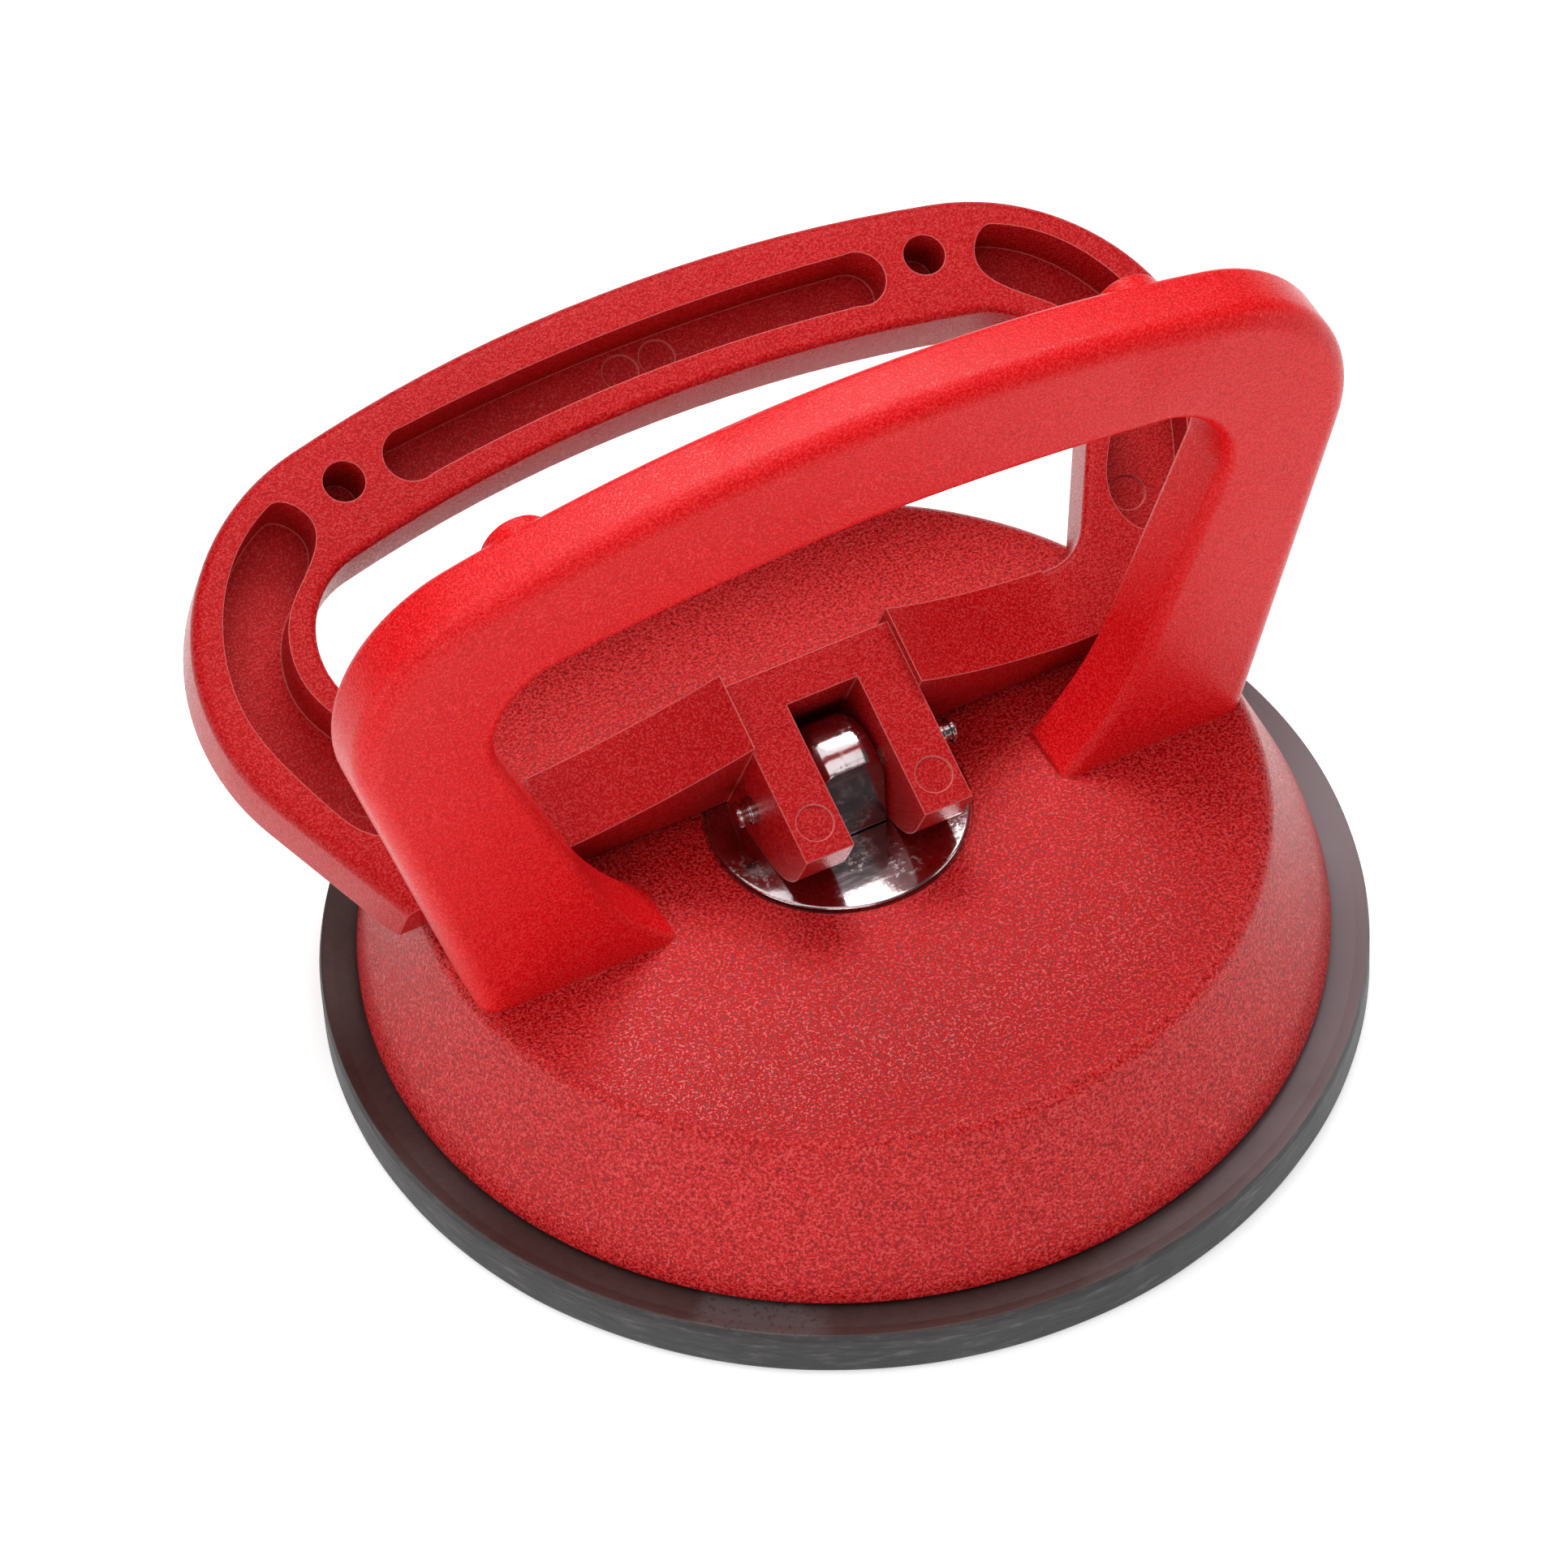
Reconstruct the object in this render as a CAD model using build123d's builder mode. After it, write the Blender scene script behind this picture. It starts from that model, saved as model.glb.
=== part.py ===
from build123d import *
from math import cos, radians, sin, sqrt, tan
import os

# Single-cup vacuum suction lifter.  Millimetres, +Z up.
# Origin: centre of the sealing face of the rubber pad.
# X runs along the fixed handle, +Y points to the grip of the open lever.

# ---------------------------------------------------------------- driving dimensions
# Rubber pad
pad_radius = 59.0
pad_rim_height = 6.5
pad_membrane_height = 5.4
pad_hub_radius = 27.0
pad_hub_height = 10.8
pad_edge_round = 0.7

# Steel plate moulded into the hub of the pad
insert_radius = 22.0
insert_bottom = 5.6
insert_thickness = 2.6

# Body shell
body_bottom_radius = 54.5
body_top_radius = 47.7
body_top_height = 25.6
body_skirt_height = 12.0
body_skirt_radius = 53.4
body_wall = 3.2
body_roof = 4.0
body_crease_round = 2.4
rib_count = 8
rib_thickness = 2.4
rib_depth = 4.5
guide_radius = 11.5
guide_depth = 4.6

# Lift stud and its guide
stud_width = 7.8
stud_depth = 8.4
stud_crown_radius = 6.7
stud_shoulder_round = 2.2
guide_clearance = 0.25

# Wear washer
washer_radius = 14.6
washer_thickness = 1.0
washer_top = 26.0
washer_clearance = 0.3
washer_gap = 0.15

# Pivot pin
pin_radius = 1.5
pin_height = 31.5
pin_left_end = -12.5
pin_right_end = 14.6
pin_groove_depth = 0.35
pin_groove_width = 0.8
pin_end_land = 0.7
pin_fit = 0.05

# Lever mechanism
rest_slope = 26.5
heel_height = 5.4
tine_reach = 10.0
heel_round = 8.2
fork_top = 9.2
fork_half_width = 10.2
slot_half_width = 4.35
slot_end = 7.3
block_back = 11.8

# Lever loop, in the plane of the lever, measured from the pin
lever_thickness = 9.8
lever_front = 3.7
lever_foot_half = 50.4
bar_back = 12.8
bar_rise = 10.8
bar_ramp_end = 32.0
hole_radius = 2.4
hole_half_spacing = 36.1
hole_reach = 51.7
hole_depth = 8.0
pocket_depth = 7.0
ejector_radius = 2.1
ejector_depth = 0.2
lever_outer_round = 1.6
lever_bottom_round = 1.2
lever_inner_round = 0.9

# Fixed handle
handle_front = -8.3
handle_thickness = 8.4
handle_lean = 2.1
handle_foot_half = 46.8
handle_root_depth = 1.6
boss_radius = 4.2
boss_dome_radius = 6.0
boss_tip = 0.4
boss_height = 87.8
boss_root = 3.6
handle_front_round = 2.8
handle_back_round = 1.4
opening_front_round = 1.5
opening_back_round = 1.0

# Derived
roof_underside = body_top_height - body_roof
slope = radians(rest_slope)

os.makedirs("parts", exist_ok=True)


# ---------------------------------------------------------------- rubber pad
with BuildPart() as rubber_pad:
    with BuildSketch(Plane.XZ):
        with BuildLine():
            Polyline(
                (0, 0),
                (pad_radius, 0),
                (pad_radius, pad_rim_height),
                (body_bottom_radius - 5, pad_rim_height),
                (body_bottom_radius - 8, pad_membrane_height),
                (pad_hub_radius + 5, pad_membrane_height),
                (pad_hub_radius, pad_hub_height),
                (0, pad_hub_height),
                close=True,
            )
        make_face()
    revolve(axis=Axis.Z)
    rim_edges = rubber_pad.edges().filter_by(GeomType.CIRCLE)
    fillet([e for e in rim_edges if abs(e.radius - pad_radius) < 0.01], pad_edge_round)
    # pocket that the insert plate fills, and the passage of the stud
    with BuildSketch(Plane.XY.offset(insert_bottom)):
        Circle(insert_radius)
    extrude(amount=insert_thickness, mode=Mode.SUBTRACT)
    with BuildSketch(Plane.XY.offset(insert_bottom)):
        Rectangle(stud_width, stud_depth)
    extrude(amount=pad_hub_height, mode=Mode.SUBTRACT)
rubber_pad.part.label = "rubber_pad"


# ---------------------------------------------------------------- insert plate
with BuildPart() as insert_plate:
    with BuildSketch(Plane.XY.offset(insert_bottom)):
        Circle(insert_radius)
        Rectangle(stud_width, stud_depth, mode=Mode.SUBTRACT)
        with PolarLocations(insert_radius * 0.7, 6):
            Circle(2.0, mode=Mode.SUBTRACT)
    extrude(amount=insert_thickness)
insert_plate.part.label = "insert_plate"


# ---------------------------------------------------------------- lift stud
with BuildPart() as lift_stud:
    with BuildSketch(Plane.YZ.offset(-stud_width / 2)):
        with Locations((0, (insert_bottom + pin_height) / 2)):
            Rectangle(stud_depth, pin_height - insert_bottom)
        with Locations((0, pin_height)):
            Rectangle(stud_depth, 2 * stud_crown_radius)
    extrude(amount=stud_width)
    # crown concentric with the pin, so that the slot of the lever clears it
    with BuildSketch(Plane.YZ.offset(-stud_width / 2)):
        with Locations((0, pin_height + stud_crown_radius / 2)):
            Rectangle(2 * stud_depth, stud_crown_radius)
        with Locations((0, pin_height)):
            Circle(stud_crown_radius, mode=Mode.SUBTRACT)
    extrude(amount=stud_width, mode=Mode.SUBTRACT)
    crown_sides = lift_stud.edges().filter_by(GeomType.CIRCLE).filter_by_position(
        Axis.Z, pin_height + 2, pin_height + 9
    )
    fillet(crown_sides, stud_shoulder_round)
    with BuildSketch(Plane.YZ.offset(-stud_width)):
        with Locations((0, pin_height)):
            Circle(pin_radius)
    extrude(amount=2 * stud_width, mode=Mode.SUBTRACT)
lift_stud.part.label = "lift_stud"


# ---------------------------------------------------------------- pivot pin
with BuildPart() as pivot_pin:
    with BuildSketch(Plane.YZ.offset(pin_left_end)):
        with Locations((0, pin_height)):
            Circle(pin_radius)
    extrude(amount=pin_right_end - pin_left_end)
    chamfer(pivot_pin.edges().filter_by(GeomType.CIRCLE), 0.25)
    for groove_start in (
        pin_left_end + pin_end_land,
        pin_right_end - pin_end_land - pin_groove_width,
    ):
        with BuildSketch(Plane.YZ.offset(groove_start)):
            with Locations((0, pin_height)):
                Circle(pin_radius + 1)
                Circle(pin_radius - pin_groove_depth, mode=Mode.SUBTRACT)
        extrude(amount=pin_groove_width, mode=Mode.SUBTRACT)
pivot_pin.part.label = "pivot_pin"


# ---------------------------------------------------------------- wear washer
with BuildPart() as wear_washer:
    with BuildSketch(Plane.XY.offset(washer_top - washer_thickness)):
        Circle(washer_radius)
        Rectangle(
            stud_width + 2 * washer_gap,
            stud_depth + 2 * washer_gap,
            mode=Mode.SUBTRACT,
        )
    extrude(amount=washer_thickness)
    washer_rim = wear_washer.edges().filter_by(GeomType.CIRCLE).sort_by(Axis.Z)[-1]
    fillet(washer_rim, 0.3)
wear_washer.part.label = "wear_washer"


# ---------------------------------------------------------------- body shell
with BuildPart() as body:
    # hollow shell: flat roof, steep upper band, skirt that turns vertical
    with BuildSketch(Plane.XZ):
        with BuildLine():
            roof = Line((0, body_top_height), (body_top_radius, body_top_height))
            band = Line(roof @ 1, (body_skirt_radius, body_skirt_height))
            skirt = TangentArc(band @ 1, (body_bottom_radius, pad_rim_height), tangent=band % 1)
            Polyline(
                skirt @ 1,
                (body_bottom_radius - body_wall, pad_rim_height),
                (body_skirt_radius - body_wall, body_skirt_height),
                (body_top_radius - body_wall, roof_underside),
                (0, roof_underside),
                (0, body_top_height),
            )
        make_face()
    revolve(axis=Axis.Z)
    crease = body.edges().filter_by(GeomType.CIRCLE)
    fillet([e for e in crease if abs(e.radius - body_top_radius) < 0.01], body_crease_round)

    # guide boss and radial ribs under the roof
    with BuildSketch(Plane.XY.offset(roof_underside - guide_depth)):
        Circle(guide_radius)
    extrude(amount=guide_depth + 1)
    with BuildSketch(Plane.XY.offset(roof_underside - rib_depth)):
        with PolarLocations((guide_radius + body_top_radius - body_wall) / 2, rib_count):
            Rectangle(body_top_radius - body_wall - guide_radius + 2, rib_thickness)
    extrude(amount=rib_depth + 1)

    # recess of the washer and guide slot of the stud
    with BuildSketch(Plane.XY.offset(washer_top - washer_thickness)):
        Circle(washer_radius + washer_clearance)
    extrude(amount=washer_thickness, mode=Mode.SUBTRACT)
    with BuildSketch(Plane.XY.offset(pad_rim_height)):
        Rectangle(stud_width + 2 * guide_clearance, stud_depth + 2 * guide_clearance)
    extrude(amount=body_top_height, mode=Mode.SUBTRACT)
body.part.label = "body"


# ---------------------------------------------------------------- fixed handle
# Plane of the front face of the handle: it leans slightly forward.
lean = radians(handle_lean)
handle_plane = Plane(
    origin=(0, handle_front, body_top_height),
    x_dir=(1, 0, 0),
    z_dir=(0, -cos(lean), -sin(lean)),
)


def handle_outline():
    """Outer edge of the fixed handle, right half mirrored to the left."""
    with BuildSketch() as outline:
        with BuildLine():
            foot = Line((handle_foot_half, -handle_root_depth), (58.6, 41.0))
            shoulder = TangentArc(foot @ 1, (45.0, 64.3), tangent=foot % 1)
            TangentArc(shoulder @ 1, (0, 69.8), tangent=shoulder % 1)
            mirror(about=Plane.YZ)
            Line((handle_foot_half, -handle_root_depth), (-handle_foot_half, -handle_root_depth))
        make_face()
    return outline.sketch


def handle_opening():
    """Hand opening: wide at the top, flaring out again where the legs meet the disc."""
    with BuildSketch() as opening:
        with BuildLine():
            leg = Line((33.4, 14.5), (43.0, 39.6))
            corner = TangentArc(leg @ 1, (35.8, 51.9), tangent=leg % 1)
            TangentArc(corner @ 1, (0, 54.9), tangent=corner % 1)
            flare = TangentArc(leg @ 0, (24.0, 0.6), tangent=leg % 0 * -1)
            Polyline(flare @ 1, (23.4, -2 * handle_root_depth), (0, -2 * handle_root_depth))
            mirror(about=Plane.YZ)
        make_face()
    return opening.sketch


with BuildPart() as stop_boss:
    with BuildSketch(Plane.XZ.offset(boss_root)):
        with Locations((0, boss_height)):
            Circle(boss_radius)
    extrude(amount=-boss_root - boss_tip)
    with Locations((0, boss_tip - boss_dome_radius, boss_height)):
        Sphere(boss_dome_radius, mode=Mode.INTERSECT)

with BuildPart() as fixed_handle:
    with BuildSketch(handle_plane):
        add(handle_outline())
    extrude(amount=-handle_thickness)
    rim_faces = fixed_handle.faces().sort_by(Axis.Y)
    front_rim = rim_faces[0].outer_wire().edges().sort_by(Axis.Z)[1:]
    back_rim = rim_faces[-1].outer_wire().edges().sort_by(Axis.Z)[1:]
    fillet(front_rim, handle_front_round)
    fillet(back_rim, handle_back_round)
    with BuildSketch(handle_plane):
        add(handle_opening())
    extrude(amount=-handle_thickness, mode=Mode.SUBTRACT)
    sides = fixed_handle.faces().sort_by(Axis(handle_plane.origin, handle_plane.z_dir))
    for face, rounding in ((sides[-1], opening_front_round), (sides[0], opening_back_round)):
        inner = face.edges().filter_by(lambda e: abs(e.center().X) < handle_foot_half - 2)
        inner = inner.filter_by(lambda e: roof_underside < e.center().Z - 5 < boss_height - 9)
        fillet(inner, rounding)

    # two stops that meet the hole rims of the closed lever
    for side in (-1, 1):
        add(stop_boss.part.translate((side * hole_half_spacing, 0, 0)))

    # the feet follow the top of the shell
    add(body.part, mode=Mode.SUBTRACT)
fixed_handle.part.label = "fixed_handle"


# ---------------------------------------------------------------- lever
# Planes of the lever at rest, all through the pin: u runs along X, v up the slope to the
# grip, w square to the face of the lever.
face_plane = Plane(
    origin=(0, 0, pin_height),
    x_dir=(1, 0, 0),
    z_dir=(0, -sin(slope), cos(slope)),
)
side_plane = Plane(
    origin=(0, 0, pin_height),
    x_dir=(0, cos(slope), sin(slope)),
    z_dir=(1, 0, 0),
)
front_plane = Plane(
    origin=(0, 0, pin_height),
    x_dir=(1, 0, 0),
    z_dir=(0, -cos(slope), -sin(slope)),
)


def heel_line(v):
    """Height w of the level sole at the distance v from the pin."""
    return -(heel_height + v * sin(slope)) / cos(slope)


heel_end = (lever_thickness * cos(slope) - heel_height) / sin(slope)


def loop_outline():
    """Outer edge of the lever: straight legs, wide shoulders, a gently arched grip."""
    with BuildSketch() as outline:
        with BuildLine():
            leg = Line((lever_foot_half, lever_front), (58.6, 20.0))
            side = TangentArc(leg @ 1, (57.4, 45.0), tangent=leg % 1)
            shoulder = TangentArc(side @ 1, (40.0, 57.25), tangent=side % 1)
            TangentArc(shoulder @ 1, (0, 61.5), tangent=shoulder % 1)
            mirror(about=Plane.YZ)
            Line((lever_foot_half, lever_front), (-lever_foot_half, lever_front))
        make_face()
    return outline.sketch


def loop_opening():
    """Finger opening between the grip, the arms and the cross bar."""
    with BuildSketch() as opening:
        with BuildLine():
            upper = TangentArc((0, 47.5), (38.6, 43.4), tangent=(1, 0))
            corner = TangentArc(upper @ 1, (45.5, 28.0), tangent=upper % 1)
            leg = Line(corner @ 1, corner @ 1 + corner % 1 * 13.8)
            root = TangentArc(leg @ 1, (32.6, bar_back), tangent=leg % 1)
            Line(root @ 1, (0, bar_back))
            mirror(about=Plane.YZ)
        make_face()
    return opening.sketch


def grip_pocket():
    """Long pocket along the grip with round ends."""
    with BuildSketch() as pocket:
        with BuildLine():
            upper = ThreePointArc((-27.5, 55.1), (0, 56.6), (27.5, 55.1))
            right = ThreePointArc(upper @ 1, (31.0, 51.8), (26.5, 48.9))
            lower = ThreePointArc(right @ 1, (0, 50.7), (-26.5, 48.9))
            ThreePointArc(lower @ 1, (-31.0, 51.8), upper @ 0)
        make_face()
    return pocket.sketch


def arm_pocket():
    """Banana-shaped pocket of the right arm."""
    with BuildSketch() as pocket:
        with BuildLine():
            Spline(
                (45.0, 52.2), (50.8, 48.3), (56.2, 39.6), (57.5, 31.5), (53.6, 18.6),
                (49.6, 13.0), (45.3, 12.6), (43.2, 16.6), (46.6, 24.6), (50.0, 32.0),
                (48.0, 40.0), (42.8, 45.2), (41.4, 49.2),
                periodic=True,
            )
        make_face()
    return pocket.sketch


with BuildPart() as lever:
    # loop, rounded along its outer edges
    with BuildSketch(face_plane.offset(-lever_thickness)):
        add(loop_outline())
    extrude(amount=lever_thickness)
    loop_faces = lever.faces().sort_by(Axis(face_plane.origin, face_plane.z_dir))
    up_slope = Axis(face_plane.origin, face_plane.y_dir)
    top_rim = loop_faces[-1].outer_wire().edges().sort_by(up_slope)[1:]
    bottom_rim = loop_faces[0].outer_wire().edges().sort_by(up_slope)[1:]
    fillet(top_rim, lever_outer_round)
    fillet(bottom_rim, lever_bottom_round)
    with BuildSketch(face_plane.offset(-lever_thickness)):
        add(loop_opening())
    extrude(amount=lever_thickness, mode=Mode.SUBTRACT)
    loop_faces = lever.faces().sort_by(Axis(face_plane.origin, face_plane.z_dir))
    for face in (loop_faces[0], loop_faces[-1]):
        inner = face.inner_wires()[0].edges().sort_by(up_slope)
        fillet(inner[2:], lever_inner_round)

    # cross bar, ramping up from the arms to the fork on both sides
    with BuildSketch(front_plane.offset(-lever_front)):
        with BuildLine():
            ramp = ThreePointArc((bar_ramp_end, 0), (20.0, 4.4), (fork_half_width, bar_rise))
            Polyline(
                ramp @ 1,
                (fork_half_width, -lever_thickness),
                (bar_ramp_end, -lever_thickness),
                ramp @ 0,
            )
        make_face()
        mirror(about=Plane.YZ)
    extrude(amount=lever_front - bar_back)

    # fork: block and tines, with a rounded heel under the nose
    with BuildSketch(side_plane.offset(-fork_half_width)):
        with BuildLine():
            Polyline(
                (block_back, -lever_thickness),
                (block_back, fork_top),
                (-tine_reach, fork_top),
                (-tine_reach, heel_line(-tine_reach)),
                (heel_end, -lever_thickness),
                close=True,
            )
        nose = make_face()
        corner = nose.vertices().sort_by(Axis.X)[:2].sort_by(Axis.Y)[0]
        fillet(corner, heel_round)
    extrude(amount=2 * fork_half_width)

    # flat sole: at rest the whole base lies level
    with BuildSketch(Plane.XY.offset(pin_height - heel_height)):
        Rectangle(4 * lever_foot_half, 4 * lever_foot_half)
    extrude(amount=-heel_height - lever_thickness, mode=Mode.SUBTRACT)

    # slot between the tines, pin bore, pockets, holes and ejector marks
    with BuildSketch(face_plane.offset(-2 * lever_thickness)):
        with Locations((0, slot_end - tine_reach)):
            Rectangle(2 * slot_half_width, 2 * tine_reach)
    extrude(amount=4 * lever_thickness, mode=Mode.SUBTRACT)
    with BuildSketch(side_plane.offset(-2 * fork_half_width)):
        Circle(pin_radius + pin_fit)
    extrude(amount=4 * fork_half_width, mode=Mode.SUBTRACT)
    with BuildSketch(face_plane.offset(-pocket_depth)):
        add(grip_pocket())
        add(arm_pocket())
        mirror(about=Plane.YZ)
    extrude(amount=2 * pocket_depth, mode=Mode.SUBTRACT)
    with BuildSketch(face_plane.offset(-hole_depth)):
        with Locations((hole_half_spacing, hole_reach), (-hole_half_spacing, hole_reach)):
            Circle(hole_radius)
    extrude(amount=lever_thickness, mode=Mode.SUBTRACT)
    with BuildSketch(face_plane.offset(fork_top - ejector_depth)):
        with Locations((7.3, -6.1), (-7.3, -6.1)):
            Circle(ejector_radius)
    extrude(amount=1, mode=Mode.SUBTRACT)
    with BuildSketch(face_plane.offset(-pocket_depth - ejector_depth)):
        with Locations((0.1, 53.8), (4.7, 53.9), (47.6, 19.2), (-47.6, 19.2)):
            Circle(ejector_radius)
    extrude(amount=1, mode=Mode.SUBTRACT)
lever.part.label = "lever"


for piece in (
    body, fixed_handle, wear_washer, rubber_pad, lift_stud, insert_plate, pivot_pin, lever,
):
    export_step(piece.part, f"parts/{piece.part.label}.step")
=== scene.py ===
from math import cos, pi, radians, sin

import bmesh
import bpy
from bpy.props import FloatProperty, FloatVectorProperty, IntProperty, PointerProperty
from mathutils import Matrix, Vector


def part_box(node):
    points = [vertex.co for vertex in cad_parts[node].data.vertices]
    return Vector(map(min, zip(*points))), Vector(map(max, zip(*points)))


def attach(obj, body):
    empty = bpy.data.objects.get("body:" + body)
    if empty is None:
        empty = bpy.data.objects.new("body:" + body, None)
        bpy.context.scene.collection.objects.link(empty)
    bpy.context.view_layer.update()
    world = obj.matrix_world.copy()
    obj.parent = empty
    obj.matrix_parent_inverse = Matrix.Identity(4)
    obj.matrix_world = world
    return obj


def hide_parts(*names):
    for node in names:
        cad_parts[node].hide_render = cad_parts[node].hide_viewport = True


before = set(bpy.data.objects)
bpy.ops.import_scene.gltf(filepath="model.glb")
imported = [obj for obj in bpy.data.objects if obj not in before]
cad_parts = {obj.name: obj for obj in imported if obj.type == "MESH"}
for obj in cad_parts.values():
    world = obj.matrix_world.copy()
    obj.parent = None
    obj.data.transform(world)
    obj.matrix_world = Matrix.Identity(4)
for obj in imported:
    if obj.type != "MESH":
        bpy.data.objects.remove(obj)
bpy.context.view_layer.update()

bl_info = {
    "name": "Suction Lifter Looks",
    "version": (1, 0, 0),
    "blender": (4, 5, 0),
    "location": "View3D > Sidebar > Suction Lifter",
    "description": "Builds the visible pieces, finishes and studio of a single-cup suction lifter",
    "category": "Object",
}

MM = 0.001
# Soft lights: name, place, point aimed at, width, height and power
SOFTBOXES = (
    ("Overhead softbox", (-0.12, -0.03, 0.42), (-0.12, -0.03, 0.0), 0.56, 0.46, 1.4),
    ("Back strip", (0.11, 0.172, 0.40), (0.0, 0.0, 0.06), 0.30, 0.15, 1.15),
    ("Front softbox", (-0.45, -1.25, 0.36), (0, 0, 0.04), 0.8, 0.40, 4.2),
    ("Left softbox", (-1.05, -0.20, 0.22), (0, 0, 0.04), 0.6, 0.5, 2.6),
    ("Right softbox", (1.0, -0.55, 0.30), (0, 0, 0.04), 0.5, 0.4, 1.6),
)


body_low, body_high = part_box("body")
pad_low, pad_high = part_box("rubber_pad")
washer_low, washer_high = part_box("wear_washer")


# ---------------------------------------------------------------- settings
class LifterPlasticSettings(bpy.types.PropertyGroup):
    color: FloatVectorProperty(
        name="Colour", description="Colour of the moulded plastic",
        subtype="COLOR", size=3, min=0, max=1, default=(0.66, 0.004, 0.007))
    roughness: FloatProperty(
        name="Roughness", description="Roughness of the plastic between the grain",
        min=0, max=1, default=0.25)
    grain_size: FloatProperty(
        name="Grain Size", description="Width of one grain of the spark-eroded surface",
        unit="LENGTH", default=0.36 * MM)
    edge_round: FloatProperty(
        name="Edge Round", description="Rounding of the moulded edges",
        unit="LENGTH", default=0.3 * MM)


class LifterPadSettings(bpy.types.PropertyGroup):
    color: FloatVectorProperty(
        name="Colour", description="Colour of the clean rubber",
        subtype="COLOR", size=3, min=0, max=1, default=(0.045, 0.020, 0.018))
    radius: FloatProperty(
        name="Radius", description="Outer radius of the rubber pad",
        unit="LENGTH", default=pad_high.x)
    rim_height: FloatProperty(
        name="Rim Height", description="Height of the side wall of the pad",
        unit="LENGTH", default=6.5 * MM)
    steps: IntProperty(
        name="Steps", description="Divisions around the axis", min=32, default=288)


class LifterShellSettings(bpy.types.PropertyGroup):
    bottom_radius: FloatProperty(
        name="Bottom Radius", description="Radius of the shell at its lower edge",
        unit="LENGTH", default=body_high.x)
    top_radius: FloatProperty(
        name="Top Radius", description="Radius of the crease between top and band",
        unit="LENGTH", default=47.7 * MM)
    top_height: FloatProperty(
        name="Top Height", description="Height of the flat top",
        unit="LENGTH", default=body_high.z)
    wall: FloatProperty(
        name="Wall", description="Wall thickness of the shell",
        unit="LENGTH", default=3.2 * MM)
    steps: IntProperty(
        name="Steps", description="Divisions around the axis", min=32, default=288)


class LifterMetalSettings(bpy.types.PropertyGroup):
    # The plating's colour is tinted pink: a painted reflection of the red plastic around it.
    color: FloatVectorProperty(
        name="Colour", description="Colour of the plating, tinted pink as a painted reflection",
        subtype="COLOR", size=3, min=0, max=1, default=(0.52, 0.44, 0.45))
    roughness: FloatProperty(
        name="Roughness", description="Roughness of the plating",
        min=0, max=1, default=0.12)


class LifterStageSettings(bpy.types.PropertyGroup):
    lens: FloatProperty(
        name="Lens", description="Focal length in millimetres", default=204.0)
    azimuth: FloatProperty(
        name="Azimuth", description="Camera direction about the vertical",
        subtype="ANGLE", default=radians(-24.81))
    elevation: FloatProperty(
        name="Elevation", description="Camera height as an angle",
        subtype="ANGLE", default=radians(47.83))
    roll: FloatProperty(
        name="Roll", description="Camera turn about its own axis",
        subtype="ANGLE", default=radians(-3.26))
    distance: FloatProperty(
        name="Distance", description="Camera distance from the object",
        unit="LENGTH", default=1.0)


# ---------------------------------------------------------------- node helpers
def new_node(tree, kind, inputs=None, **settings):
    """A node with its settings and plain input values."""
    node = tree.nodes.new(kind)
    for name, value in settings.items():
        setattr(node, name, value)
    for name, value in (inputs or {}).items():
        node.inputs[name].default_value = value
    return node


def join(tree, *pairs):
    """Links each (from socket, to socket) pair."""
    for source, target in pairs:
        tree.links.new(source, target)


def math(tree, operation, first, second=0.0):
    """Result socket of a Math node; each input is a socket or a number."""
    node = new_node(tree, "ShaderNodeMath", operation=operation)
    for index, value in enumerate((first, second)):
        if isinstance(value, (int, float)):
            node.inputs[index].default_value = value
        else:
            tree.links.new(value, node.inputs[index])
    return node.outputs[0]


def ramp(tree, source, stops):
    """Colour ramp over a value; stops are (position, grey or colour)."""
    node = new_node(tree, "ShaderNodeValToRGB")
    while len(node.color_ramp.elements) < len(stops):
        node.color_ramp.elements.new(0.5)
    for element, (position, color) in zip(node.color_ramp.elements, stops):
        element.position = position
        element.color = (color,) * 3 + (1,) if isinstance(color, (int, float)) else (*color, 1)
    tree.links.new(source, node.inputs["Fac"])
    return node.outputs["Color"]


def mix_color(tree, factor, first, second, blend="MIX"):
    """Mixed colour; each input is a socket, a number or a colour."""
    node = new_node(tree, "ShaderNodeMix", data_type="RGBA", blend_type=blend)
    for name, value in (("Factor", factor), ("A", first), ("B", second)):
        kinds = ("VALUE",) if name == "Factor" else ("RGBA",)
        socket = next(s for s in node.inputs if s.name == name and s.type in kinds)
        if isinstance(value, (int, float)):
            socket.default_value = value
        elif isinstance(value, (tuple, list)):
            socket.default_value = (*value, 1)
        else:
            tree.links.new(value, socket)
    return next(s for s in node.outputs if s.type == "RGBA")


def start_material(name):
    """Empty material with its tree, Principled shader and Object coordinates."""
    material = bpy.data.materials.new(name)
    material.use_nodes = True
    tree = material.node_tree
    shader = tree.nodes["Principled BSDF"]
    place = new_node(tree, "ShaderNodeTexCoord").outputs["Object"]
    return material, tree, shader, place


def noise(tree, place, scale, detail=2.0, roughness=0.5, distortion=0.0):
    """Value of a Noise texture."""
    node = new_node(tree, "ShaderNodeTexNoise", {
        "Scale": scale, "Detail": detail, "Roughness": roughness, "Distortion": distortion})
    tree.links.new(place, node.inputs["Vector"])
    return node.outputs["Fac"]


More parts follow.
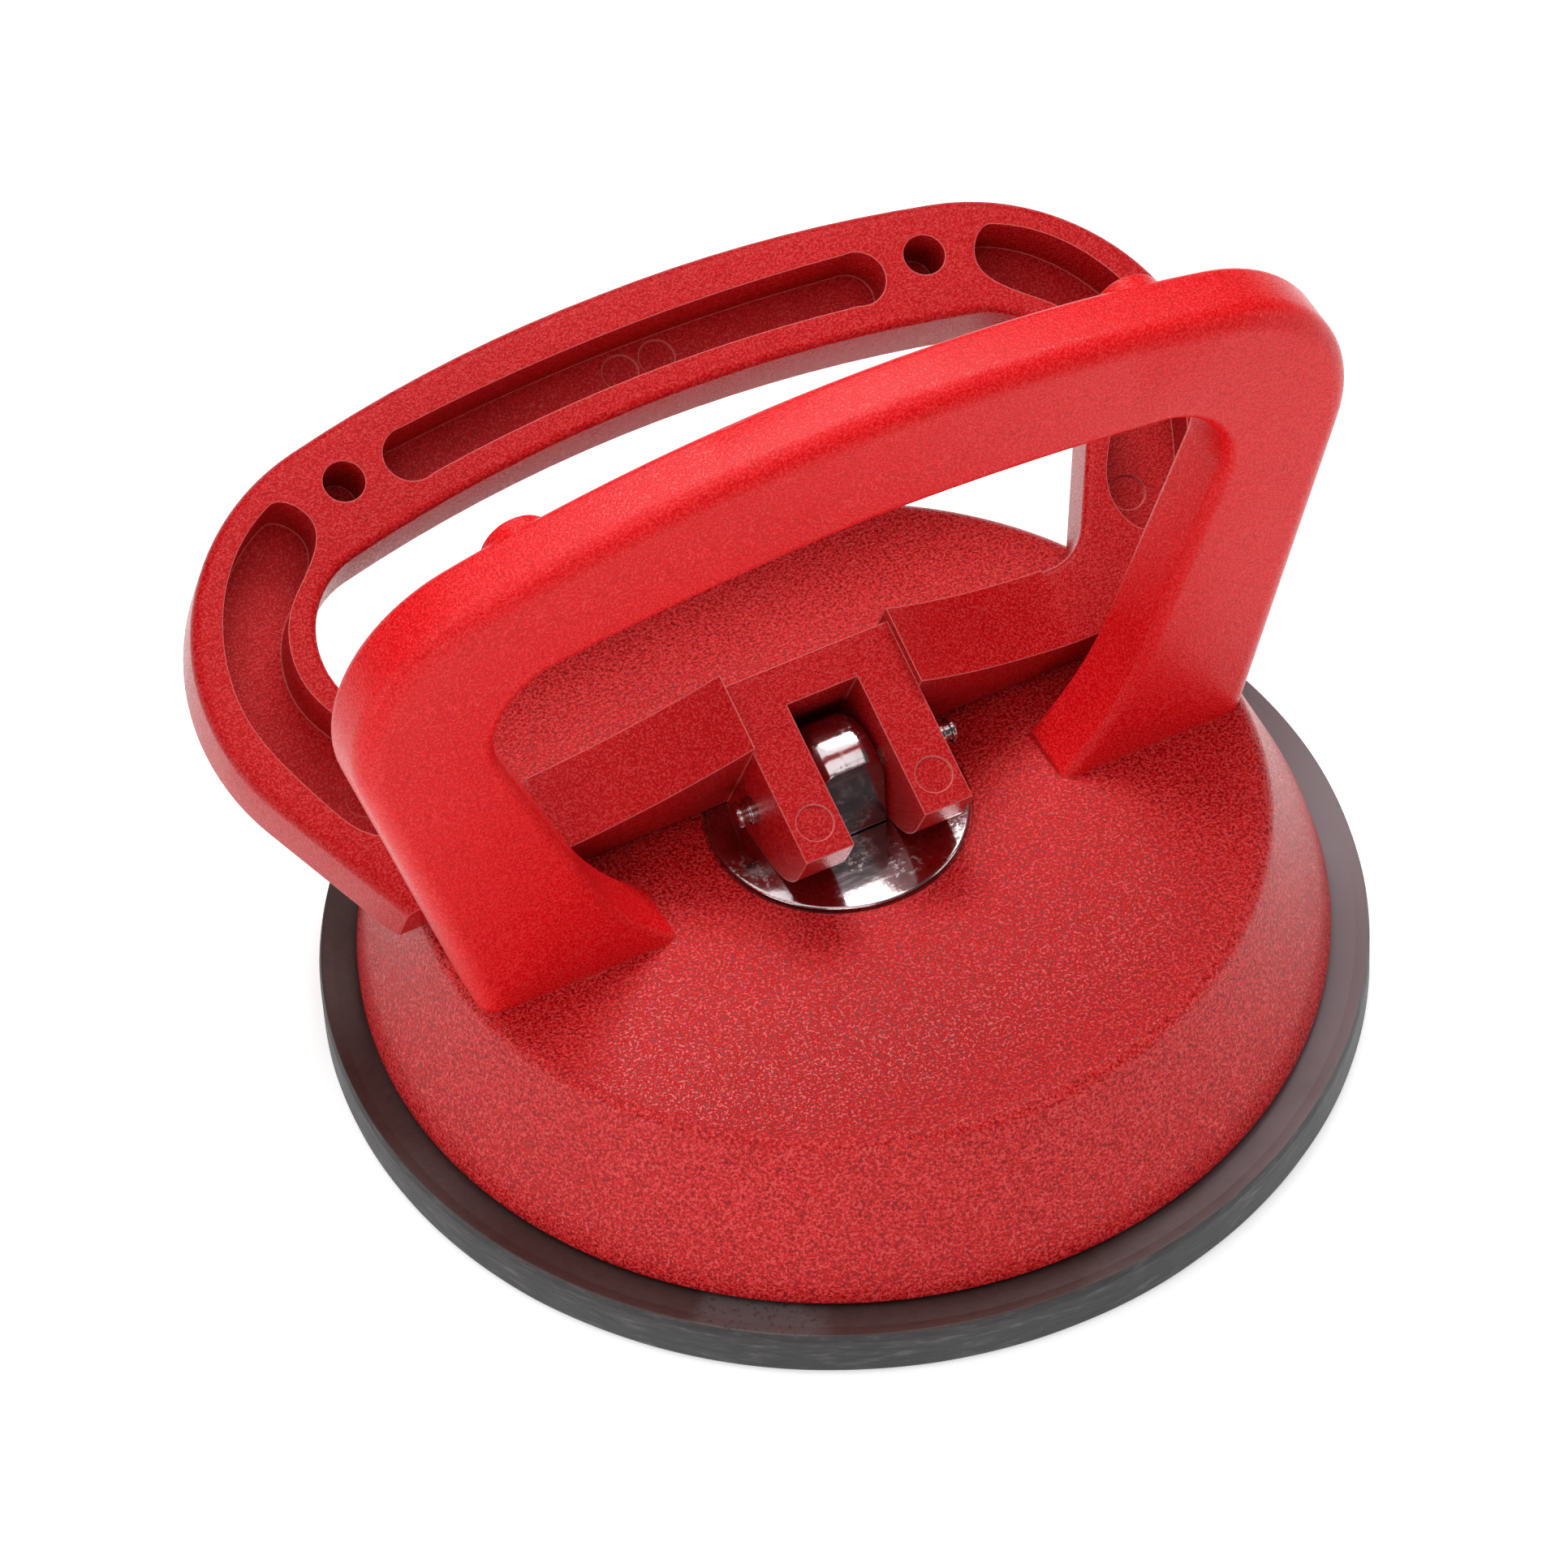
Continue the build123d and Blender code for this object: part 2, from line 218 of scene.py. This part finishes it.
# ---------------------------------------------------------------- finishes
def grained_plastic(name, settings, grain=1.0, depth=1.0, painted_shade_scale=1.0, gloss=0.3):
    """Moulded plastic with a spark-eroded grain; its sheen and shade are painted into the colour.

    The grain's light pink specks are painted highlights and its darker pits painted shade.
    Sharp edges are drawn as a thin light line, a painted highlight. The grain is a share of
    the grain size, depth the strength of its contrast, tone the share of the plastic's
    colour (below 1 it is painted shade), and gloss the specular level.
    """
    material, tree, shader, place = start_material(name)
    scale = 1.0 / (settings.grain_size * grain)
    coarse = noise(tree, place, scale, 1.0, 0.5)
    fine = noise(tree, place, scale * 2.1, 1.0, 0.5)
    broad = noise(tree, place, 38.0, 2.0, 0.5)
    mixed = math(tree, "ADD", math(tree, "MULTIPLY", coarse, 0.55),
                 math(tree, "MULTIPLY", fine, 0.45))
    skin = ramp(tree, mixed, [(0.41, 0.0), (0.50, 0.45), (0.58, 1.0)])
    # The plastic's colour, scaled down on the shell and the lever as painted shade.
    base = tuple(c * painted_shade_scale for c in settings.color)
    # Darker grain pits are painted shade; light pink specks are painted highlights of the sheen.
    painted_pit_shade = tuple(c * (1 - 0.62 * depth) for c in base)
    painted_glint = (min(1, base[0] * (1 + 0.12 * depth)), base[1] + 0.05 * depth, base[2] + 0.05 * depth)
    shade = ramp(tree, skin, [(0.0, painted_pit_shade), (0.30, base), (0.60, base), (1.0, painted_glint)])
    patch = ramp(tree, broad, [(0.3, 0.95), (0.7, 1.03)])
    grained = mix_color(tree, 1.0, shade, patch, "MULTIPLY")
    edge = new_node(tree, "ShaderNodeBevel", {"Radius": settings.edge_round}, samples=8)
    surface = new_node(tree, "ShaderNodeNewGeometry")
    turn = new_node(tree, "ShaderNodeVectorMath", operation="DOT_PRODUCT")
    join(tree, (edge.outputs["Normal"], turn.inputs[0]),
         (surface.outputs["Normal"], turn.inputs[1]))
    # Painted highlight: a thin light pink line where the bevelled normal turns away from the face
    # normal.
    edge_highlight = ramp(tree, turn.outputs["Value"], [(0.86, 0.55), (0.975, 0.0)])
    color = mix_color(tree, edge_highlight, grained, (0.86, 0.26, 0.24))
    bump = new_node(tree, "ShaderNodeBump", {"Strength": 0.6 * depth, "Distance": 0.10 * MM})
    rough = math(tree, "ADD", math(tree, "MULTIPLY", skin, -0.10), settings.roughness + 0.05)
    join(tree, (color, shader.inputs["Base Color"]), (skin, bump.inputs["Height"]),
         (edge.outputs["Normal"], bump.inputs["Normal"]),
         (bump.outputs["Normal"], shader.inputs["Normal"]), (rough, shader.inputs["Roughness"]))
    shader.inputs["Specular IOR Level"].default_value = gloss
    return material


def dust_and_sheen_rubber(name, settings):
    """Dark soft rubber: grey dust with a painted sheen on one side, pitted smudges and a scuffed side
    wall.
    """
    material, tree, shader, place = start_material(name)
    spread = new_node(tree, "ShaderNodeSeparateXYZ")
    facing = new_node(tree, "ShaderNodeSeparateXYZ")
    normal = new_node(tree, "ShaderNodeNewGeometry").outputs["Normal"]
    join(tree, (place, spread.inputs[0]), (normal, facing.inputs[0]))
    side = ramp(tree, facing.outputs["Z"], [(0.30, 1.0), (0.75, 0.0)])
    wide = noise(tree, place, 42.0, 4.0, 0.6, 0.4)
    speck = noise(tree, place, 900.0, 3.0, 0.7)
    pits = noise(tree, place, 1500.0, 2.0, 0.6)
    # streaks that run round the wall: stretched along the circumference
    streak_place = new_node(tree, "ShaderNodeMapping")
    streak_place.inputs["Scale"].default_value = (260.0, 260.0, 1300.0)
    join(tree, (place, streak_place.inputs["Vector"]))
    streak = noise(tree, streak_place.outputs["Vector"], 1.0, 3.0, 0.65)
    # lighter grey on the side that points to +X: dust together with a painted sheen
    lean = math(tree, "ADD", math(tree, "MULTIPLY", spread.outputs["X"], 0.93),
                math(tree, "MULTIPLY", spread.outputs["Y"], -0.25))
    side_dust_and_sheen = ramp(tree, math(tree, "ADD", math(tree, "MULTIPLY", lean, 12.0),
                            math(tree, "MULTIPLY", wide, 0.7)), [(0.55, 0.0), (0.95, 1.0)])
    # one smudge near the front left
    away = new_node(tree, "ShaderNodeVectorMath", {1: (-0.034, -0.0455, 0.006)}, operation="DISTANCE")
    join(tree, (place, away.inputs[0]))
    near = math(tree, "SUBTRACT", math(tree, "MULTIPLY", wide, 1.0),
                math(tree, "MULTIPLY", away.outputs["Value"], 48.0))
    smudge = ramp(tree, near, [(0.10, 0.0), (0.2, 1.0)])
    holes = ramp(tree, pits, [(0.56, 1.0), (0.64, 0.25)])
    base = mix_color(tree, ramp(tree, speck, [(0.35, 0.0), (0.7, 1.0)]), tuple(settings.color),
                     tuple(c * 1.35 for c in settings.color))
    # Mixes in the grey of the +X side, dust with a painted sheen, and then the pitted smudges.
    dust_and_sheen_color = mix_color(tree, math(tree, "MULTIPLY", side_dust_and_sheen, 0.75), base, (0.225, 0.175, 0.19))
    dust_and_sheen_color = mix_color(tree, math(tree, "MULTIPLY", math(tree, "MULTIPLY", smudge, holes), 0.55),
                      dust_and_sheen_color, (0.13, 0.11, 0.115))
    scuffed = ramp(tree, streak, [(0.36, (0.008, 0.007, 0.008)), (0.54, (0.016, 0.014, 0.015)),
                                  (0.78, (0.075, 0.070, 0.073))])
    color = mix_color(tree, side, dust_and_sheen_color, scuffed)
    height = math(tree, "ADD", math(tree, "ADD", math(tree, "MULTIPLY", speck, 0.5),
                                    math(tree, "MULTIPLY", pits, -0.3)),
                  math(tree, "MULTIPLY", math(tree, "MULTIPLY", streak, side), 2.0))
    bump = new_node(tree, "ShaderNodeBump", {"Strength": 0.45, "Distance": 0.14 * MM})
    rough = ramp(tree, wide, [(0.3, 0.44), (0.7, 0.58)])
    join(tree, (color, shader.inputs["Base Color"]), (height, bump.inputs["Height"]),
         (bump.outputs["Normal"], shader.inputs["Normal"]), (rough, shader.inputs["Roughness"]))
    return material


def plated_steel(name, settings, wear=1.0):
    """Bright plating with soft dents, fine scratches and specks of wear."""
    material, tree, shader, place = start_material(name)
    stretch = new_node(tree, "ShaderNodeMapping")
    stretch.inputs["Rotation"].default_value = (0.2, 0.1, 0.6)
    stretch.inputs["Scale"].default_value = (90.0, 2600.0, 700.0)
    join(tree, (place, stretch.inputs["Vector"]))
    lines = noise(tree, stretch.outputs["Vector"], 1.0, 2.0, 0.6)
    cloud = noise(tree, place, 240.0, 3.0, 0.6)
    specks = noise(tree, place, 1500.0, 2.0, 0.6)
    worn = math(tree, "MULTIPLY", ramp(tree, cloud, [(0.50, 0.0), (0.62, 1.0)]),
                ramp(tree, specks, [(0.48, 0.0), (0.60, 1.0)]))
    marks = math(tree, "MULTIPLY", ramp(tree, lines, [(0.55, 0.0), (0.72, 1.0)]), 0.10 * wear)
    rough = math(tree, "ADD", math(tree, "ADD", marks, settings.roughness),
                 math(tree, "MULTIPLY", worn, 0.25 * wear))
    color = mix_color(tree, ramp(tree, cloud, [(0.35, 0.0), (0.7, 1.0)]),
                      tuple(c * 0.80 for c in settings.color), tuple(settings.color))
    height = math(tree, "ADD", math(tree, "MULTIPLY", cloud, 3.0),
                  math(tree, "ADD", math(tree, "MULTIPLY", lines, 0.25),
                       math(tree, "MULTIPLY", worn, 0.5)))
    bump = new_node(tree, "ShaderNodeBump", {"Strength": 0.22 * wear, "Distance": 0.06 * MM})
    edge = new_node(tree, "ShaderNodeBevel", {"Radius": 0.25 * MM}, samples=6)
    join(tree, (color, shader.inputs["Base Color"]), (rough, shader.inputs["Roughness"]),
         (height, bump.inputs["Height"]), (edge.outputs["Normal"], bump.inputs["Normal"]),
         (bump.outputs["Normal"], shader.inputs["Normal"]))
    shader.inputs["Metallic"].default_value = 1.0
    return material


# ---------------------------------------------------------------- meshes
def merged_copy(node, name, sharp=28):
    """Merged copy of a CAD node's mesh, smooth except across sharp edges."""
    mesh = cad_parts[node].data.copy()
    mesh.name = name
    for attribute in [a.name for a in mesh.attributes if a.name == "custom_normal"]:
        mesh.attributes.remove(mesh.attributes[attribute])
    work = bmesh.new()
    work.from_mesh(mesh)
    bmesh.ops.remove_doubles(work, verts=work.verts, dist=0.001 * MM)
    work.to_mesh(mesh)
    work.free()
    mesh.materials.clear()
    mesh.shade_smooth()
    mesh.set_sharp_from_angle(angle=radians(sharp))
    return place_piece(mesh, name)


def place_piece(mesh, name):
    """Object at the origin that shows the mesh."""
    piece = bpy.data.objects.new(name, mesh)
    bpy.context.scene.collection.objects.link(piece)
    return piece


def rounded(points, rounds, steps=6):
    """Profile with its corners replaced by arcs; rounds[i] is the radius at points[i]."""
    out = []
    count = len(points)
    for index, corner in enumerate(points):
        corner = Vector(corner)
        radius = rounds.get(index, 0)
        before = (Vector(points[index - 1]) - corner).normalized()
        after = (Vector(points[(index + 1) % count]) - corner).normalized()
        if not radius:
            out.append(corner)
            continue
        half = before.angle(after) / 2
        center = corner + (before + after).normalized() * (radius / sin(half))
        reach = radius * cos(half) / sin(half)
        start = corner + before * reach - center
        end = corner + after * reach - center
        for step in range(steps + 1):
            mixed = start.lerp(end, step / steps)
            out.append(center + mixed.normalized() * radius)
    return out


def profile_mesh(name, points):
    """Closed profile in the XZ plane as a chain of points; the first is repeated at the end."""
    mesh = bpy.data.meshes.new(name)
    chain = [(p.x, 0, p.y) for p in points] + [(points[0].x, 0, points[0].y)]
    mesh.from_pydata(chain, [(i, i + 1) for i in range(len(chain) - 1)], [])
    return mesh


# ---------------------------------------------------------------- geometry nodes
def add_socket(group, name, kind, default=None, out=False):
    """Named socket on a node group."""
    socket = group.interface.new_socket(
        name=name, in_out="OUTPUT" if out else "INPUT", socket_type=kind)
    if default is not None:
        socket.default_value = default
    return socket


def turned_group():
    """Turns a closed profile about the Z axis, with an uneven skin where it is asked for."""
    group = bpy.data.node_groups.new("Turned Piece", "GeometryNodeTree")
    add_socket(group, "Geometry", "NodeSocketGeometry", out=True)
    add_socket(group, "Profile", "NodeSocketGeometry")
    add_socket(group, "Points", "NodeSocketInt", 10)
    add_socket(group, "Steps", "NodeSocketInt", 288)
    add_socket(group, "Unevenness", "NodeSocketFloat", 0.0)
    add_socket(group, "Unevenness Scale", "NodeSocketFloat", 60.0)
    add_socket(group, "Material", "NodeSocketMaterial")
    given = new_node(group, "NodeGroupInput")
    result = new_node(group, "NodeGroupOutput")
    grid = new_node(group, "GeometryNodeMeshGrid")
    across = math(group, "SUBTRACT", given.outputs["Points"], 1)
    around = math(group, "ADD", given.outputs["Steps"], 1)
    spot = new_node(group, "GeometryNodeInputPosition")
    split = new_node(group, "ShaderNodeSeparateXYZ")
    index = new_node(group, "FunctionNodeFloatToInt", rounding_mode="ROUND")
    sample = new_node(group, "GeometryNodeSampleIndex", data_type="FLOAT_VECTOR", domain="POINT")
    turn = new_node(group, "ShaderNodeVectorRotate", rotation_type="Z_AXIS")
    place = new_node(group, "GeometryNodeSetPosition")
    join(group, (across, grid.inputs["Size X"]), (given.outputs["Steps"], grid.inputs["Size Y"]),
         (given.outputs["Points"], grid.inputs["Vertices X"]), (around, grid.inputs["Vertices Y"]),
         (spot.outputs[0], split.inputs[0]))
    along = math(group, "ADD", split.outputs["X"], math(group, "DIVIDE", across, 2))
    beside = math(group, "ADD", split.outputs["Y"],
                  math(group, "DIVIDE", given.outputs["Steps"], 2))
    angle = math(group, "DIVIDE", math(group, "MULTIPLY", beside, 2 * pi), given.outputs["Steps"])
    join(group, (along, index.inputs[0]), (given.outputs["Profile"], sample.inputs["Geometry"]),
         (spot.outputs[0], sample.inputs["Value"]), (index.outputs[0], sample.inputs["Index"]),
         (sample.outputs[0], turn.inputs["Vector"]), (angle, turn.inputs["Angle"]),
         (grid.outputs["Mesh"], place.inputs["Geometry"]), (turn.outputs[0], place.inputs["Position"]))
    weld = new_node(group, "GeometryNodeMergeByDistance", {"Distance": 0.002 * MM})
    wave = new_node(group, "ShaderNodeTexNoise", {"Detail": 2.0})
    lift = math(group, "MULTIPLY", math(group, "SUBTRACT", wave.outputs["Fac"], 0.5),
                given.outputs["Unevenness"])
    outward = new_node(group, "ShaderNodeVectorMath", operation="SCALE")
    normal = new_node(group, "GeometryNodeInputNormal")
    uneven = new_node(group, "GeometryNodeSetPosition")
    smooth = new_node(group, "GeometryNodeSetShadeSmooth")
    realize = new_node(group, "GeometryNodeRealizeInstances")
    paint = new_node(group, "GeometryNodeSetMaterial")
    join(group, (place.outputs[0], weld.inputs["Geometry"]),
         (given.outputs["Unevenness Scale"], wave.inputs["Scale"]),
         (normal.outputs[0], outward.inputs[0]), (lift, outward.inputs["Scale"]),
         (weld.outputs[0], uneven.inputs["Geometry"]), (outward.outputs[0], uneven.inputs["Offset"]),
         (uneven.outputs[0], smooth.inputs["Geometry"]), (smooth.outputs[0], realize.inputs[0]),
         (realize.outputs[0], paint.inputs["Geometry"]),
         (given.outputs["Material"], paint.inputs["Material"]), (paint.outputs[0], result.inputs[0]))
    return group


def run_group(piece, group, values):
    """Runs a node group on the piece and keeps the result as its plain mesh."""
    modifier = piece.modifiers.new(group.name, "NODES")
    modifier.node_group = group
    for item in group.interface.items_tree:
        if item.in_out == "INPUT" and item.name in values:
            modifier[item.identifier] = values[item.name]
    graph = bpy.context.evaluated_depsgraph_get()
    mesh = bpy.data.meshes.new_from_object(piece.evaluated_get(graph))
    piece.modifiers.clear()
    mesh.name = piece.name
    piece.data = mesh
    return piece


def turned_piece(name, points, steps, material, unevenness=0.0, scale=60.0, sharp=25):
    """Piece turned about Z from a profile of (radius, height) points."""
    piece = place_piece(profile_mesh(name, points), name)
    group = bpy.data.node_groups.get("Turned Piece") or turned_group()
    run_group(piece, group, {
        "Points": len(points) + 1, "Steps": steps, "Unevenness": unevenness,
        "Unevenness Scale": scale, "Material": material})
    work = bmesh.new()
    work.from_mesh(piece.data)
    bmesh.ops.dissolve_degenerate(work, edges=work.edges, dist=0.001 * MM)
    bmesh.ops.recalc_face_normals(work, faces=work.faces)
    work.to_mesh(piece.data)
    work.free()
    piece.data.set_sharp_from_angle(angle=radians(sharp))
    return piece


def carried_node(node, material):
    """Gives a CAD node its finish."""
    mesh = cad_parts[node].data
    mesh.materials.clear()
    mesh.materials.append(material)


# ---------------------------------------------------------------- operators
class LIFTER_OT_shell(bpy.types.Operator):
    """Round plastic shell, turned from its profile"""
    bl_idname = "lifter.shell"
    bl_label = "Add Shell"

    def execute(self, context):
        shell = context.scene.lifter_shell
        # The shell's plastic is darkened to 0.86 of its colour: painted shade.
        plastic = grained_plastic(
            "Red plastic, top grain, painted shade", context.scene.lifter_plastic, painted_shade_scale=0.86, gloss=0.24)
        bottom = body_low.z
        skirt_height = 12.0 * MM
        skirt_radius = shell.bottom_radius - 1.1 * MM
        roof = 4.0 * MM
        hole = 6.0 * MM
        boss = 11.5 * MM
        boss_low = shell.top_height - 8.6 * MM
        recess = washer_high.x + 0.3 * MM
        points = [
            (hole, washer_low.z), (recess, washer_low.z), (recess, shell.top_height),
            (shell.top_radius, shell.top_height), (skirt_radius, skirt_height),
            (shell.bottom_radius, bottom + 1.5 * MM), (shell.bottom_radius, bottom),
            (shell.bottom_radius - shell.wall, bottom),
            (skirt_radius - shell.wall, skirt_height),
            (shell.top_radius - shell.wall, shell.top_height - roof),
            (boss, shell.top_height - roof), (boss, boss_low), (hole, boss_low)]
        rounds = {2: 0.25 * MM, 3: 1.9 * MM, 4: 14.0 * MM, 6: 0.5 * MM}
        piece = turned_piece("shell", rounded(points, rounds, 8), shell.steps, plastic)
        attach(piece, "housing")
        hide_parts("body")
        return {"FINISHED"}


class LIFTER_OT_fixed_handle(bpy.types.Operator):
    """Fixed loop handle with its two domed stops"""
    bl_idname = "lifter.fixed_handle"
    bl_label = "Add Fixed Handle"

    def execute(self, context):
        piece = merged_copy("fixed_handle", "handle")
        piece.data.materials.append(grained_plastic(
            "Red plastic, handle grain", context.scene.lifter_plastic,
            grain=0.8, depth=0.45, gloss=0.17))
        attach(piece, "housing")
        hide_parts("fixed_handle")
        return {"FINISHED"}


class LIFTER_OT_lever(bpy.types.Operator):
    """Looped lever with its fork"""
    bl_idname = "lifter.lever"
    bl_label = "Add Lever"

    def execute(self, context):
        piece = merged_copy("lever", "swing_lever")
        # The lever's plastic is darkened to 0.68 of its colour: painted shade.
        piece.data.materials.append(grained_plastic(
            "Red plastic, lever grain, painted shade", context.scene.lifter_plastic,
            grain=0.8, depth=0.58, painted_shade_scale=0.68, gloss=0.10))
        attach(piece, "lever")
        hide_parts("lever")
        return {"FINISHED"}


class LIFTER_OT_pad(bpy.types.Operator):
    """Rubber pad with its lip, turned from its profile"""
    bl_idname = "lifter.pad"
    bl_label = "Add Rubber Pad"

    def execute(self, context):
        pad = context.scene.lifter_pad
        rubber = dust_and_sheen_rubber("Rubber, dust and painted sheen", pad)
        edge = pad.radius - 0.15 * MM
        lip = 1.1 * MM
        points = [
            (0.0, pad_low.z + 0.05 * MM), (edge - 1.0 * MM, pad_low.z + 0.05 * MM),
            (edge - 0.2 * MM, 0.5 * MM), (edge, 1.0 * MM),
            (edge, pad.rim_height - lip), (edge - 0.25 * MM, pad.rim_height - 0.1 * MM),
            (edge - 1.6 * MM, pad.rim_height - 0.35 * MM),
            (49.5 * MM, pad.rim_height - 0.5 * MM), (46.5 * MM, 5.4 * MM), (32.0 * MM, 5.4 * MM),
            (27.0 * MM, 10.75 * MM), (0.0, 10.75 * MM)]
        rounds = {4: 0.5 * MM, 5: 0.15 * MM, 6: 0.5 * MM}
        piece = turned_piece("pad", rounded(points, rounds, 5), pad.steps, rubber, 0.25 * MM, 45.0, 35)
        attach(piece, "housing")
        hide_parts("rubber_pad")
        return {"FINISHED"}


class LIFTER_OT_steel(bpy.types.Operator):
    """Plated stud, washer and pin, and the plate in the rubber"""
    bl_idname = "lifter.steel"
    bl_label = "Add Steel Pieces"

    def execute(self, context):
        metal = context.scene.lifter_metal
        bright = plated_steel("Plated steel", metal)
        for node, name, body in (("lift_stud", "stud", "stud"), ("wear_washer", "washer", "housing"),
                                 ("pivot_pin", "pin", "stud")):
            piece = merged_copy(node, name)
            piece.data.materials.append(bright)
            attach(piece, body)
            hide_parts(node)
        carried_node("insert_plate", plated_steel("Sheet steel", metal, wear=1.6))
        return {"FINISHED"}


def add_softbox(name, place, target, width, height, power):
    """Rectangular soft light aimed at a point."""
    lamp = bpy.data.lights.new(name, "AREA")
    lamp.shape = "RECTANGLE"
    lamp.size = width
    lamp.size_y = height
    lamp.energy = power
    box = bpy.data.objects.new(name, lamp)
    box.location = place
    box.rotation_euler = (Vector(target) - Vector(place)).to_track_quat("-Z", "Y").to_euler()
    box.visible_camera = False
    bpy.context.scene.collection.objects.link(box)
    return box


def add_camera(stage):
    """Camera at the viewing angle, aimed a little past the middle of the object."""
    side = Vector((cos(stage.azimuth), sin(stage.azimuth), 0))
    ahead = Vector((-sin(stage.azimuth) * cos(stage.elevation),
                    cos(stage.azimuth) * cos(stage.elevation), -sin(stage.elevation)))
    ahead_up = side.cross(ahead)
    right = side * cos(stage.roll) + ahead_up * sin(stage.roll)
    up = ahead_up * cos(stage.roll) - side * sin(stage.roll)
    aim = Vector((1.17, 16.23, 13.79)) * MM
    turn = Matrix((right, up, -ahead)).transposed().to_4x4()
    camera = bpy.data.cameras.new("Camera")
    camera.sensor_width = 36.0
    camera.lens = stage.lens
    camera.clip_end = 20
    holder = bpy.data.objects.new("Camera", camera)
    holder.matrix_world = Matrix.Translation(aim - ahead * stage.distance) @ turn
    bpy.context.scene.collection.objects.link(holder)
    bpy.context.scene.camera = holder


class LIFTER_OT_stage(bpy.types.Operator):
    """Pale floor, soft studio light and the camera"""
    bl_idname = "lifter.stage"
    bl_label = "Add Stage"

    def execute(self, context):
        scene = context.scene
        scene.view_settings.view_transform = "Standard"
        world = bpy.data.worlds.new("Studio")
        world.use_nodes = True
        world.node_tree.nodes["Background"].inputs["Color"].default_value = (1, 1, 1, 1)
        world.node_tree.nodes["Background"].inputs["Strength"].default_value = 0.12
        scene.world = world
        floor_mesh = bpy.data.meshes.new("Floor")
        reach = 6.0
        floor_mesh.from_pydata(
            [(-reach, -reach, 0), (reach, -reach, 0), (reach, reach, 0), (-reach, reach, 0)],
            [], [(0, 1, 2, 3)])
        floor = place_piece(floor_mesh, "Floor")
        paper = bpy.data.materials.new("White paper")
        paper.use_nodes = True
        shader = paper.node_tree.nodes["Principled BSDF"]
        shader.inputs["Base Color"].default_value = (0.85, 0.85, 0.85, 1)
        shader.inputs["Roughness"].default_value = 0.9
        shader.inputs["Specular IOR Level"].default_value = 0.0
        shader.inputs["Emission Color"].default_value = (1, 1, 1, 1)
        shader.inputs["Emission Strength"].default_value = 0.55
        floor_mesh.materials.append(paper)
        for softbox in SOFTBOXES:
            add_softbox(*softbox)
        add_camera(scene.lifter_stage)
        return {"FINISHED"}


# ---------------------------------------------------------------- panel
SETTINGS = (
    ("lifter_shell", "Shell", LifterShellSettings),
    ("lifter_plastic", "Plastic", LifterPlasticSettings),
    ("lifter_pad", "Rubber Pad", LifterPadSettings),
    ("lifter_metal", "Plating", LifterMetalSettings),
    ("lifter_stage", "Stage", LifterStageSettings),
)
OPERATORS = (
    LIFTER_OT_shell, LIFTER_OT_fixed_handle, LIFTER_OT_lever, LIFTER_OT_pad, LIFTER_OT_steel,
    LIFTER_OT_stage,
)


class LIFTER_PT_panel(bpy.types.Panel):
    """Settings and pieces of the suction lifter"""
    bl_idname = "LIFTER_PT_panel"
    bl_label = "Suction Lifter"
    bl_space_type = "VIEW_3D"
    bl_region_type = "UI"
    bl_category = "Suction Lifter"

    def draw(self, context):
        for attribute, title, group in SETTINGS:
            box = self.layout.box()
            box.label(text=title)
            for name in group.__annotations__:
                box.prop(getattr(context.scene, attribute), name)
        for operator in OPERATORS:
            self.layout.operator(operator.bl_idname)


def register():
    for attribute, _, group in SETTINGS:
        bpy.utils.register_class(group)
        setattr(bpy.types.Scene, attribute, PointerProperty(type=group))
    for operator in OPERATORS:
        bpy.utils.register_class(operator)
    bpy.utils.register_class(LIFTER_PT_panel)


def unregister():
    bpy.utils.unregister_class(LIFTER_PT_panel)
    for operator in reversed(OPERATORS):
        bpy.utils.unregister_class(operator)
    for attribute, _, group in reversed(SETTINGS):
        delattr(bpy.types.Scene, attribute)
        bpy.utils.unregister_class(group)


def main():
    """Builds everything in order."""
    register()
    bpy.ops.lifter.shell()
    bpy.ops.lifter.fixed_handle()
    bpy.ops.lifter.lever()
    bpy.ops.lifter.pad()
    bpy.ops.lifter.steel()
    bpy.ops.lifter.stage()


if __name__ == "__main__":
    main()
